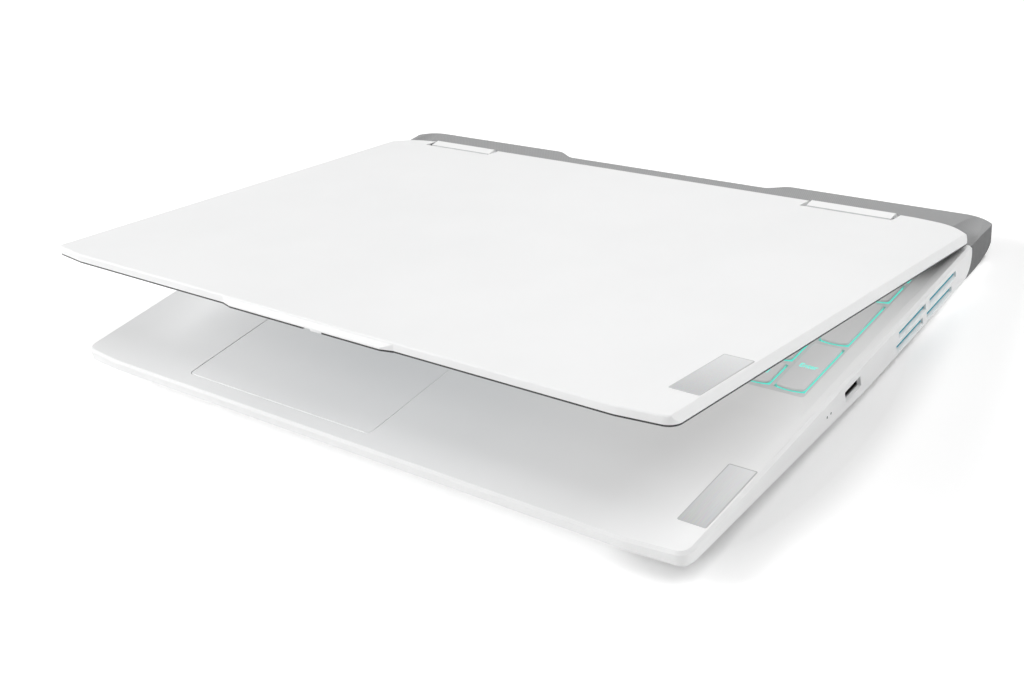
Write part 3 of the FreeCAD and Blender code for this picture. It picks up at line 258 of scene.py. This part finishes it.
def woven_plastic(name):
    """Grey plastic with the weave in colour and relief, and a plain shade on faces that look sideways."""
    material, tree, shader = start_material(name)
    grain = moulded_grain(tree, 2200.0, 0.2)
    cross = math_value(tree, "MULTIPLY", diagonal_lines(tree, WEAVE_TURN), diagonal_lines(tree, -WEAVE_TURN))
    weave = add_node(tree, "ShaderNodeBump", Strength=0.35, Distance=WEAVE_HEIGHT)
    tree.links.new(cross, weave.inputs["Height"])
    tree.links.new(grain["Normal"], weave.inputs["Normal"])
    tree.links.new(weave.outputs["Normal"], shader.inputs["Normal"])
    tree.links.new(mix_colour(tree, cross, SHELF_DARK, SHELF_LIGHT), shader.inputs["Base Color"])
    sideways = math_value(tree, "ABSOLUTE", axes_of(tree, place_on(tree)["Normal"])["X"])
    cover_base(tree, shader, map_value(tree, sideways, *END_FACING), SHELF_END)
    tree.links.new(map_value(tree, grain["Speck"], *NOISE_SPAN, 0.42, 0.6), shader.inputs["Roughness"])
    return material


paint(woven_plastic("shelf_grey"), "rear_cover")

# Side vents: coloured louvre inserts seen through the slots in the side walls.
# The teal is a bright one, as little light reaches it behind the wall.

TEAL_DARK = (0.004, 0.32, 0.42)
TEAL_LIGHT = (0.008, 0.40, 0.52)

louvre_teal = moulded_plastic("louvre_teal", TEAL_DARK, TEAL_LIGHT, (0.35, 0.5), 2400.0, 0.3)
paint(louvre_teal, "side_vent_grille_left", "side_vent_grille_right")

# Sockets: stamped steel shells round a plastic tongue, a black audio socket and two small light pipes.
# The rim of each shell is bright and its depth carries painted shade, dark past a short rim, and the data
# ports have a pale tongue.

STAMPED_DARK = (0.42, 0.43, 0.44)
STAMPED_LIGHT = (0.62, 0.63, 0.64)
DEPTH_SHADE_AND_BLACK = (0.012, 0.012, 0.013)
SOCKET_METALLIC = 0.6
BRIGHT_RIM = 0.0008
TONGUE_RISE = 0.00075
TONGUE_HALF_HEIGHT = 0.0007
TONGUE_HALF_WIDTH = 0.0054
TONGUE_PALE = (0.84, 0.85, 0.85)


def socket_steel(name, mouth, axis, outward, tongue_node=None):
    """Steel with painted shade that darkens it into the socket, by the distance behind its mouth, with a
    pale tongue if named.
    """
    material, tree, shader = start_material(name)
    place = place_on(tree)["Object"]
    along = axes_of(tree, place)
    marks = noise_on(tree, place, Scale=1800.0, Detail=3.0)["Fac"]
    tree.links.new(mix_colour(tree, marks, STAMPED_DARK, STAMPED_LIGHT), shader.inputs["Base Color"])
    # Painted shade: the steel goes dark past the rim, into the socket. The same dark serves as the black of
    # the audio socket.
    depth_shade = map_value(tree, along[axis], mouth, mouth - outward * BRIGHT_RIM)
    cover_base(tree, shader, depth_shade, DEPTH_SHADE_AND_BLACK)
    tree.links.new(map_value(tree, marks, *NOISE_SPAN, 0.28, 0.42), shader.inputs["Roughness"])
    shader.inputs["Metallic"].default_value = SOCKET_METALLIC
    if tongue_node:
        low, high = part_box(tongue_node)
        middle = (low + high) / 2
        in_height = math_value(tree, "COMPARE", along["Z"], middle.z + TONGUE_RISE, TONGUE_HALF_HEIGHT)
        in_width = math_value(tree, "COMPARE", along["Y"], middle.y, TONGUE_HALF_WIDTH)
        on_tongue = math_value(tree, "MULTIPLY", in_height, in_width)
        cover_base(tree, shader, on_tongue, TONGUE_PALE)
        tree.links.new(map_value(tree, on_tongue, 0.0, 1.0, SOCKET_METALLIC, 0.0), shader.inputs["Metallic"])
    return material


side_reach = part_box("data_port_right")[1].x
compact_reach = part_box("compact_port_left")[0].x
rear_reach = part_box("network_port")[1].y
paint(socket_steel("socket_right", side_reach, "X", 1.0, "data_port_right"), "data_port_right")
paint(socket_steel("socket_left", -side_reach, "X", -1.0, "data_port_left"), "data_port_left")
paint(socket_steel("socket_compact", compact_reach, "X", -1.0), "compact_port_left")
paint(socket_steel("socket_rear", rear_reach, "Y", 1.0), "network_port", "video_port", "power_inlet")
paint(moulded_plastic("socket_black", DEPTH_SHADE_AND_BLACK, (0.03, 0.03, 0.032), (0.4, 0.6)), "audio_jack")
paint(moulded_plastic("light_pipe", (0.20, 0.21, 0.21), (0.30, 0.31, 0.31), (0.2, 0.3)), "status_lights")

# Works inside the base: boards, battery, cooling and speakers.
# Lacquered board with paler tracks, copper pipes, black mouldings and steel plates.


def circuit_lacquer(name):
    """Green lacquer over a board, with paler lines where the tracks lie."""
    material, tree, shader = start_material(name)
    tracks = add_node(tree, "ShaderNodeTexBrick", Scale=160.0, Mortar_Size=0.06)
    tracks.inputs["Color1"].default_value = (0.006, 0.045, 0.030, 1.0)
    tracks.inputs["Color2"].default_value = (0.008, 0.060, 0.038, 1.0)
    tracks.inputs["Mortar"].default_value = (0.03, 0.14, 0.08, 1.0)
    tree.links.new(place_on(tree)["Object"], tracks.inputs["Vector"])
    tree.links.new(tracks.outputs["Color"], shader.inputs["Base Color"])
    tree.links.new(map_value(tree, tracks.outputs["Fac"], 0.0, 1.0, 0.32, 0.5), shader.inputs["Roughness"])
    return material


paint(circuit_lacquer("circuit_lacquer"),
      "motherboard", "ssd_card", "memory_module", "wireless_card", "webcam_module")
paint(turned_steel("pipe_copper", (0.55, 0.24, 0.13), (0.80, 0.40, 0.24), (0.25, 0.4)), "heatsink")
paint(moulded_plastic("black_moulding", (0.02, 0.02, 0.021), (0.04, 0.04, 0.042), (0.45, 0.65)),
      "fan_housing_left", "fan_housing_right", "fan_rotor_left", "fan_rotor_right",
      "speaker_left", "speaker_right", "battery_pack")
paint(turned_steel("bracket_steel", (0.40, 0.41, 0.42), (0.55, 0.56, 0.57), (0.3, 0.45)),
      "keyboard_baseplate", "hinge_base_bracket_left", "hinge_base_bracket_right",
      "hinge_lid_bracket_left", "hinge_lid_bracket_right", "hinge_pin_left", "hinge_pin_right")

# Keyboard: light guide, switch sheet, web and white caps lit from below.
# The light shows as a cyan line on the lower part of each cap's skirt and in the legends.

CYAN = (0.13, 0.80, 0.66)
UNLIT = (0.0, 0.0, 0.0)
BACKLIT_BASE = (0.05, 0.20, 0.17)
CAP_LIGHT_FOOT = 0.0154
CAP_LIGHT_TOP = 0.0156
GUIDE_LIGHT_FOOT = 0.0115
GUIDE_LIGHT_TOP = 0.0125


def lit_plastic(name, dark, light, foot, top, strength):
    """Plastic whose lower part glows cyan, by its height."""
    material = moulded_plastic(name, dark, light, (0.45, 0.6))
    tree, shader = open_material(material)
    lit = map_value(tree, axes_of(tree, place_on(tree)["Object"])["Z"], foot, top, 1.0, 0.0)
    cover_base(tree, shader, lit, BACKLIT_BASE)
    tree.links.new(mix_colour(tree, lit, UNLIT, CYAN), shader.inputs["Emission Color"])
    shader.inputs["Emission Strength"].default_value = strength
    return material


cap_white = lit_plastic("cap_white", (0.80, 0.805, 0.81), (0.82, 0.825, 0.83),
                        CAP_LIGHT_FOOT, CAP_LIGHT_TOP, 0.9)
paint(cap_white, "function_keys", "number_row_keys", "upper_row_keys", "home_row_keys", "lower_row_keys",
      "bottom_row_keys", "space_bar", "arrow_keys", "numpad_keys", "numpad_plus_key", "numpad_enter_key")
paint(moulded_plastic("web_grey", (0.70, 0.71, 0.715), (0.74, 0.75, 0.755), (0.5, 0.65)), "keyboard_frame")
guide_clear = lit_plastic("guide_clear", (0.30, 0.60, 0.60), (0.34, 0.66, 0.66),
                          GUIDE_LIGHT_FOOT, GUIDE_LIGHT_TOP, 0.6)
paint(guide_clear, "keyboard_light_guide", "key_switch_sheet")

# Key legends: plain letters, digits and key words, lit cyan, standing a hair above the caps.
# Each row's legends ride with the caps of that row. Places along the keyboard are in millimetres.

KEY_PITCH = 18.15
ROW_PITCH = 18.25
KEY_GAP = 3.2
KEY_LEFT = -166.6
KEY_FRONT = 108.0
KEY_DEPTH = 14.4
FUNCTION_ROW = 5
FUNCTION_DEPTH = 10.0
PAD_LEFT = 105.6
PAD_PITCH = 16.0
PAD_GAP = 3.0
HALF_DEPTH = 131.6
LEGEND_SETBACK = 0.6
LEGEND_HEIGHT = 0.01633
LETTER_SIZE = 0.0050
WORD_SIZE = 0.0038
STROKE_SWELL = 0.00008
ARROW_RADIUS = 0.0016
PLUS_LEFT = 3.4
PLUS_BACK = 9.0
ARROW_TURNS = {"left": 90.0, "right": -90.0, "up": 0.0, "down": 180.0}


def row_middle(row):
    """Middle of a row of caps, in the frame of the part."""
    depth = FUNCTION_DEPTH if row == FUNCTION_ROW else KEY_DEPTH
    return KEY_FRONT + row * ROW_PITCH + depth / 2 - HALF_DEPTH - LEGEND_SETBACK


def run_legends(row, units, words):
    """Legend words with their places along a row of the main block."""
    found = []
    start = KEY_LEFT
    for width, word in zip(units, words):
        found.append((word, start + (width * KEY_PITCH - KEY_GAP) / 2, row_middle(row)))
        start += width * KEY_PITCH
    return found


def pad_legend(column, row, word, columns=1, rows=1):
    """A legend word with its place on the number pad, for a cap of one or more units."""
    x = PAD_LEFT + column * PAD_PITCH + (columns * PAD_PITCH - PAD_GAP) / 2
    return word, x, row_middle(row) + (rows - 1) * ROW_PITCH / 2


def glowing_ink(name):
    """Lit legend, a little uneven as light bleeds through the cap."""
    material, tree, shader = start_material(name)
    patch = noise_on(tree, place_on(tree)["Object"], Scale=220.0, Detail=1.0)["Fac"]
    ink = mix_colour(tree, patch, (0.14, 0.70, 0.60), (0.20, 0.82, 0.70))
    dim_cyan = tuple(channel * 2 / 3 for channel in CYAN)
    glow = mix_colour(tree, map_value(tree, patch, *NOISE_SPAN), dim_cyan, CYAN)
    tree.links.new(ink, shader.inputs["Base Color"])
    tree.links.new(glow, shader.inputs["Emission Color"])
    shader.inputs["Emission Strength"].default_value = 0.75
    return material


legend_ink = glowing_ink("legend_ink")


def make_legend(word, x, y):
    """One legend as a flat mesh on its cap: lettering, or a small triangle for an arrow key."""
    bpy.ops.object.select_all(action="DESELECT")
    if word in ARROW_TURNS:
        bpy.ops.mesh.primitive_circle_add(vertices=3, radius=ARROW_RADIUS, fill_type="NGON")
        turn = Matrix.Rotation(math.radians(ARROW_TURNS[word]), 4, "Z")
    else:
        bpy.ops.object.text_add()
        letters = bpy.context.object.data
        letters.body = word
        letters.size = LETTER_SIZE if len(word) == 1 else WORD_SIZE
        letters.offset = STROKE_SWELL
        letters.align_x = "CENTER"
        letters.align_y = "CENTER"
        letters.resolution_u = 3
        bpy.ops.object.convert(target="MESH")
        turn = Matrix.Identity(4)
    legend = bpy.context.object
    legend.data.transform(Matrix.Translation((x / 1000, y / 1000, LEGEND_HEIGHT)) @ turn)
    return legend


def legend_row(node, legends):
    """Joins a row's legends into one piece that rides with its caps."""
    made = [make_legend(*legend) for legend in legends]
    bpy.ops.object.select_all(action="DESELECT")
    for piece in made:
        piece.select_set(True)
    bpy.context.view_layer.objects.active = made[0]
    if len(made) > 1:
        bpy.ops.object.join()
    row = bpy.context.object
    row.name = node.replace("_keys", "").replace("_key", "") + "_legends"
    row.data.materials.clear()
    row.data.materials.append(legend_ink)
    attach(row, node)


function_words = ["Esc"] + ["F%d" % number for number in range(1, 13)] + ["Ins", "Del"]
function_legends = run_legends(FUNCTION_ROW, [1] * 15, function_words)
for column, word in enumerate(["Home", "End", "PgUp", "PgDn"]):
    function_legends.append(pad_legend(column, FUNCTION_ROW, word))
legend_row("function_keys", function_legends)
number_words = list("`1234567890-=") + ["Back"]
legend_row("number_row_keys", run_legends(4, [1] * 13 + [2], number_words))
upper_words = ["Tab"] + list("QWERTYUIOP[]") + ["\\"]
legend_row("upper_row_keys", run_legends(3, [1.5] + [1] * 12 + [1.5], upper_words))
home_words = ["Caps"] + list("ASDFGHJKL;'") + ["Enter"]
legend_row("home_row_keys", run_legends(2, [1.75] + [1] * 11 + [2.25], home_words))
lower_units = [2.25] + [1] * 10 + [1.75, 1]
lower_words = ["Shift"] + list("ZXCVBNM,./") + ["Shift", "up"]
lower_legends = run_legends(1, lower_units, lower_words)
legend_row("lower_row_keys", lower_legends[:-1])
bottom_units = [1.25, 1, 1, 1.25, 5.5, 1, 1, 1, 1, 1]
bottom_words = ["Ctrl", "Fn", "Sys", "Alt", "", "Alt", "Ctrl", "left", "down", "right"]
bottom_legends = run_legends(0, bottom_units, bottom_words)
legend_row("bottom_row_keys", bottom_legends[:4] + bottom_legends[5:7])
legend_row("arrow_keys", bottom_legends[7:] + lower_legends[-1:])
pad_legends = []
for row in (1, 2, 3):
    for column in range(3):
        pad_legends.append(pad_legend(column, row, str(3 * (row - 1) + column + 1)))
for column, word in enumerate(["Num", "/", "*", "-"]):
    pad_legends.append(pad_legend(column, 4, word))
legend_row("numpad_keys", pad_legends + [pad_legend(0, 0, "0", 2), pad_legend(2, 0, "Del")])
plus_word, plus_x, plus_y = pad_legend(3, 2, "+", 1, 2)
legend_row("numpad_plus_key", [(plus_word, plus_x - PLUS_LEFT, plus_y + PLUS_BACK)])
legend_row("numpad_enter_key", [pad_legend(3, 0, "Enter", 1, 2)])

# Touchpad, power button and the two bare satin plates.
# The plates are brushed, carry a painted reflection that grades from darker to lighter along their length,
# and have a thin dark border.

PAD_DARK = (0.85, 0.853, 0.855)
PAD_LIGHT = (0.87, 0.872, 0.873)
BORDER_INSIDE = 0.00065
BORDER_OUTSIDE = 0.00045
BORDER_GREY = (0.52, 0.525, 0.53)
BRUSHING = 0.25


def satin_plate(name, node, dark, light):
    """Brushed plate with a painted reflection grading along its length and a thin border, measured from the
    plate's own box.
    """
    low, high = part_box(node)
    middle = (low + high) / 2
    reach = (high - low) / 2
    material, tree, shader = start_material(name)
    along = axes_of(tree, place_on(tree)["Object"])
    hairs = noise_on(tree, laid_out(tree, Scale=(1.0, 0.03, 1.0)), Scale=5000.0, Detail=3.0)
    # Painted reflection: darker to lighter along the plate's length.
    reflection_grade = mix_colour(tree, map_value(tree, along["Y"], low.y, high.y), dark, light)
    brushed = tree.nodes.new("ShaderNodeMix")
    brushed.data_type = "RGBA"
    brushed.blend_type = "OVERLAY"
    brushed.inputs["Factor"].default_value = BRUSHING
    tree.links.new(reflection_grade, brushed.inputs["A"])
    tree.links.new(hairs["Color"], brushed.inputs["B"])
    tree.links.new(brushed.outputs["Result"], shader.inputs["Base Color"])
    edges = []
    for axis, centre, edge in (("X", middle.x, reach.x), ("Y", middle.y, reach.y)):
        away = math_value(tree, "ABSOLUTE", math_value(tree, "SUBTRACT", along[axis], centre))
        edges.append(map_value(tree, away, edge - BORDER_INSIDE, edge - BORDER_OUTSIDE))
    cover_base(tree, shader, math_value(tree, "MAXIMUM", *edges), BORDER_GREY)
    tree.links.new(map_value(tree, hairs["Fac"], *NOISE_SPAN, 0.38, 0.5), shader.inputs["Roughness"])
    return material


paint(moulded_plastic("pad_white", PAD_DARK, PAD_LIGHT, (0.36, 0.46), 3200.0, 0.12), "touchpad")
paint(white_plastic, "power_button")
palm_plate = satin_plate("palm_plate", "palmrest_badge", (0.54, 0.545, 0.55), (0.80, 0.805, 0.81))
paint(palm_plate, "palmrest_badge")
lid_plate = satin_plate("lid_plate", "lid_badge", (0.47, 0.475, 0.48), (0.70, 0.705, 0.71))
paint(lid_plate, "lid_badge")

# Lid: white cover, black bezel, screen and the small camera slider.
# The cover is the same moulding as the base. The screen glows with a plain pale picture of soft bands,
# as a fill light for the palm rest under the lid.

PANEL_DARK = (0.006, 0.006, 0.008)
PANEL_LIGHT = (0.009, 0.010, 0.013)
PICTURE_LOW = (0.55, 0.58, 0.60)
PICTURE_HIGH = (0.84, 0.83, 0.82)
PICTURE_STRENGTH = 0.91
FACE_DOWN = (-0.5, -0.9)


def lit_screen(name, node):
    """Dark coated panel whose viewing face shows soft bands that grade across its width."""
    material = moulded_plastic(name, PANEL_DARK, PANEL_LIGHT, (0.34, 0.44), 3600.0, 0.05)
    tree, shader = open_material(material)
    left, right = [corner.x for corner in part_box(node)]
    place = place_on(tree)
    bands = add_node(tree, "ShaderNodeTexWave", Scale=1.9, Distortion=2.5, Detail=1.0, Detail_Scale=0.8)
    bands.bands_direction = "DIAGONAL"
    tree.links.new(place["Object"], bands.inputs["Vector"])
    sweep = map_value(tree, axes_of(tree, place["Object"])["X"], left, right, 0.55, 1.0)
    waves = map_value(tree, bands.outputs["Fac"], 0.0, 1.0, 0.4, 1.0)
    picture = mix_colour(tree, math_value(tree, "MULTIPLY", sweep, waves), PICTURE_LOW, PICTURE_HIGH)
    on_face = map_value(tree, axes_of(tree, place["Normal"])["Z"], *FACE_DOWN)
    tree.links.new(mix_colour(tree, on_face, UNLIT, picture), shader.inputs["Emission Color"])
    shader.inputs["Emission Strength"].default_value = PICTURE_STRENGTH
    return material


paint(white_plastic, "lid_cover", "webcam_shutter")
bezel_black = moulded_plastic("bezel_black", (0.022, 0.022, 0.023), (0.035, 0.035, 0.037), (0.5, 0.65))
paint(bezel_black, "screen_bezel")
paint(lit_screen("screen_lit", "display_panel"), "display_panel")

# Floor and backdrop: one pale sheet under the part.
# It is nearly white, quite dull and faintly lit from below, more so towards its far edges, and not at all
# beside the right wall, where the missing glow paints a soft shadow.

FLOOR_SIZE = 12.0
NEAR_GLOW = 0.24
FAR_GLOW = 0.66
FAR_SPAN = (0.7, 1.9)
# Painted shadow: a squeezed spot beside the right wall where the floor does not glow.
SHADE_OFFSET = (-0.165, 0.011, 0.0)
SHADE_SQUEEZE = (1.0, 0.35, 0.0)
SHADE_SPAN = (0.028, 0.043)


def vector_length(tree, vector):
    """The length of a vector."""
    measure = tree.nodes.new("ShaderNodeVectorMath")
    measure.operation = "LENGTH"
    tree.links.new(vector, measure.inputs[0])
    return measure.outputs["Value"]


bpy.ops.object.select_all(action="DESELECT")
bpy.ops.mesh.primitive_plane_add(size=FLOOR_SIZE)
floor = bpy.context.object
floor.name = "floor"
floor_white, floor_tree, floor_shader = start_material("floor_white")
floor_place = place_on(floor_tree)["Object"]
floor_cloud = noise_on(floor_tree, floor_place, Scale=3.0, Detail=2.0)["Fac"]
floor_colour = mix_colour(floor_tree, floor_cloud, (0.97, 0.97, 0.97), (0.98, 0.98, 0.98))
floor_tree.links.new(floor_colour, floor_shader.inputs["Base Color"])
floor_shader.inputs["Roughness"].default_value = 0.9
floor_shader.inputs["Specular IOR Level"].default_value = 0.0
floor_shader.inputs["Emission Color"].default_value = (1.0, 1.0, 1.0, 1.0)
# Painted shadow: the floor's near glow is held back in a spot beside the right wall.
shade_place = laid_out(floor_tree, Location=SHADE_OFFSET, Scale=SHADE_SQUEEZE)
shade_away = vector_length(floor_tree, shade_place)
near_glow = map_value(floor_tree, shade_away, *SHADE_SPAN, 0.0, NEAR_GLOW)
far_glow = map_value(floor_tree, vector_length(floor_tree, floor_place), *FAR_SPAN, 0.0, FAR_GLOW)
floor_glow = math_value(floor_tree, "ADD", near_glow, far_glow)
floor_tree.links.new(floor_glow, floor_shader.inputs["Emission Strength"])
floor.data.materials.append(floor_white)

# Light: a white room, dim except where it is seen or mirrored, and five soft boxes: two overhead, the
# stronger one to the right, one on the left towards the front and two weak ones behind. The screen lights
# the palm rest.

ROOM_WHITE = (1.0, 1.0, 1.0, 1.0)
ROOM_FILL = 0.075
AIM = Vector((0.0, 0.0, 0.02))

world = bpy.data.worlds.new("room")
bpy.context.scene.world = world
world.use_nodes = True
room = world.node_tree
room_light = room.nodes["Background"]
room_light.inputs["Color"].default_value = ROOM_WHITE
room_light.inputs["Strength"].default_value = ROOM_FILL
room_seen = add_node(room, "ShaderNodeBackground", Color=ROOM_WHITE, Strength=1.0)
room_rays = room.nodes.new("ShaderNodeLightPath").outputs
room_mirrored = math_value(room, "MAXIMUM", room_rays["Is Glossy Ray"], room_rays["Is Transmission Ray"])
room_shown = math_value(room, "MAXIMUM", room_rays["Is Camera Ray"], room_mirrored)
room_choice = room.nodes.new("ShaderNodeMixShader")
room.links.new(room_shown, room_choice.inputs["Fac"])
room.links.new(room_light.outputs["Background"], room_choice.inputs[1])
room.links.new(room_seen.outputs["Background"], room_choice.inputs[2])
room.links.new(room_choice.outputs["Shader"], room.nodes["World Output"].inputs["Surface"])


def soft_box(name, place, size, power):
    """A square area light that faces the part."""
    lamp = bpy.data.lights.new(name, "AREA")
    lamp.shape = "SQUARE"
    lamp.size = size
    lamp.energy = power
    holder = bpy.data.objects.new(name, lamp)
    holder.location = place
    holder.rotation_mode = "QUATERNION"
    holder.rotation_quaternion = (AIM - Vector(place)).to_track_quat("-Z", "Y")
    bpy.context.scene.collection.objects.link(holder)


soft_box("top_box", (0.0, 0.0, 1.9), 1.6, 5.0)
soft_box("top_right_box", (0.9, 0.0, 1.6), 1.2, 15.5)
soft_box("left_box", (-1.45, -0.85, 1.05), 1.0, 28.0)
soft_box("rear_right_box", (1.4, 1.2, 1.0), 1.0, 5.2)
soft_box("rear_left_box", (-0.9, 1.7, 0.9), 1.0, 3.9)

# Camera: from the front right corner and above, turned a little about its own axis.
# Its place, its line of sight and its level direction are those of the photograph.

CAMERA_PLACE = (0.43160, -0.43658, 0.35145)
CAMERA_LOOK = Vector((-0.61418, 0.60263, -0.50952))
CAMERA_ACROSS = Vector((0.76326, 0.61769, -0.18946))
SENSOR_WIDTH = 36.0
LENS_LENGTH = 51.345

camera_data = bpy.data.cameras.new("camera")
camera_data.sensor_width = SENSOR_WIDTH
camera_data.lens = LENS_LENGTH
camera_data.clip_start = 0.02
camera_data.clip_end = 40.0
camera = bpy.data.objects.new("camera", camera_data)
bpy.context.scene.collection.objects.link(camera)
camera_up = CAMERA_ACROSS.cross(CAMERA_LOOK)
camera_turn = Matrix((CAMERA_ACROSS, camera_up, -CAMERA_LOOK)).transposed().to_4x4()
camera.matrix_world = Matrix.Translation(CAMERA_PLACE) @ camera_turn
bpy.context.scene.camera = camera
bpy.context.scene.view_settings.view_transform = "Standard"
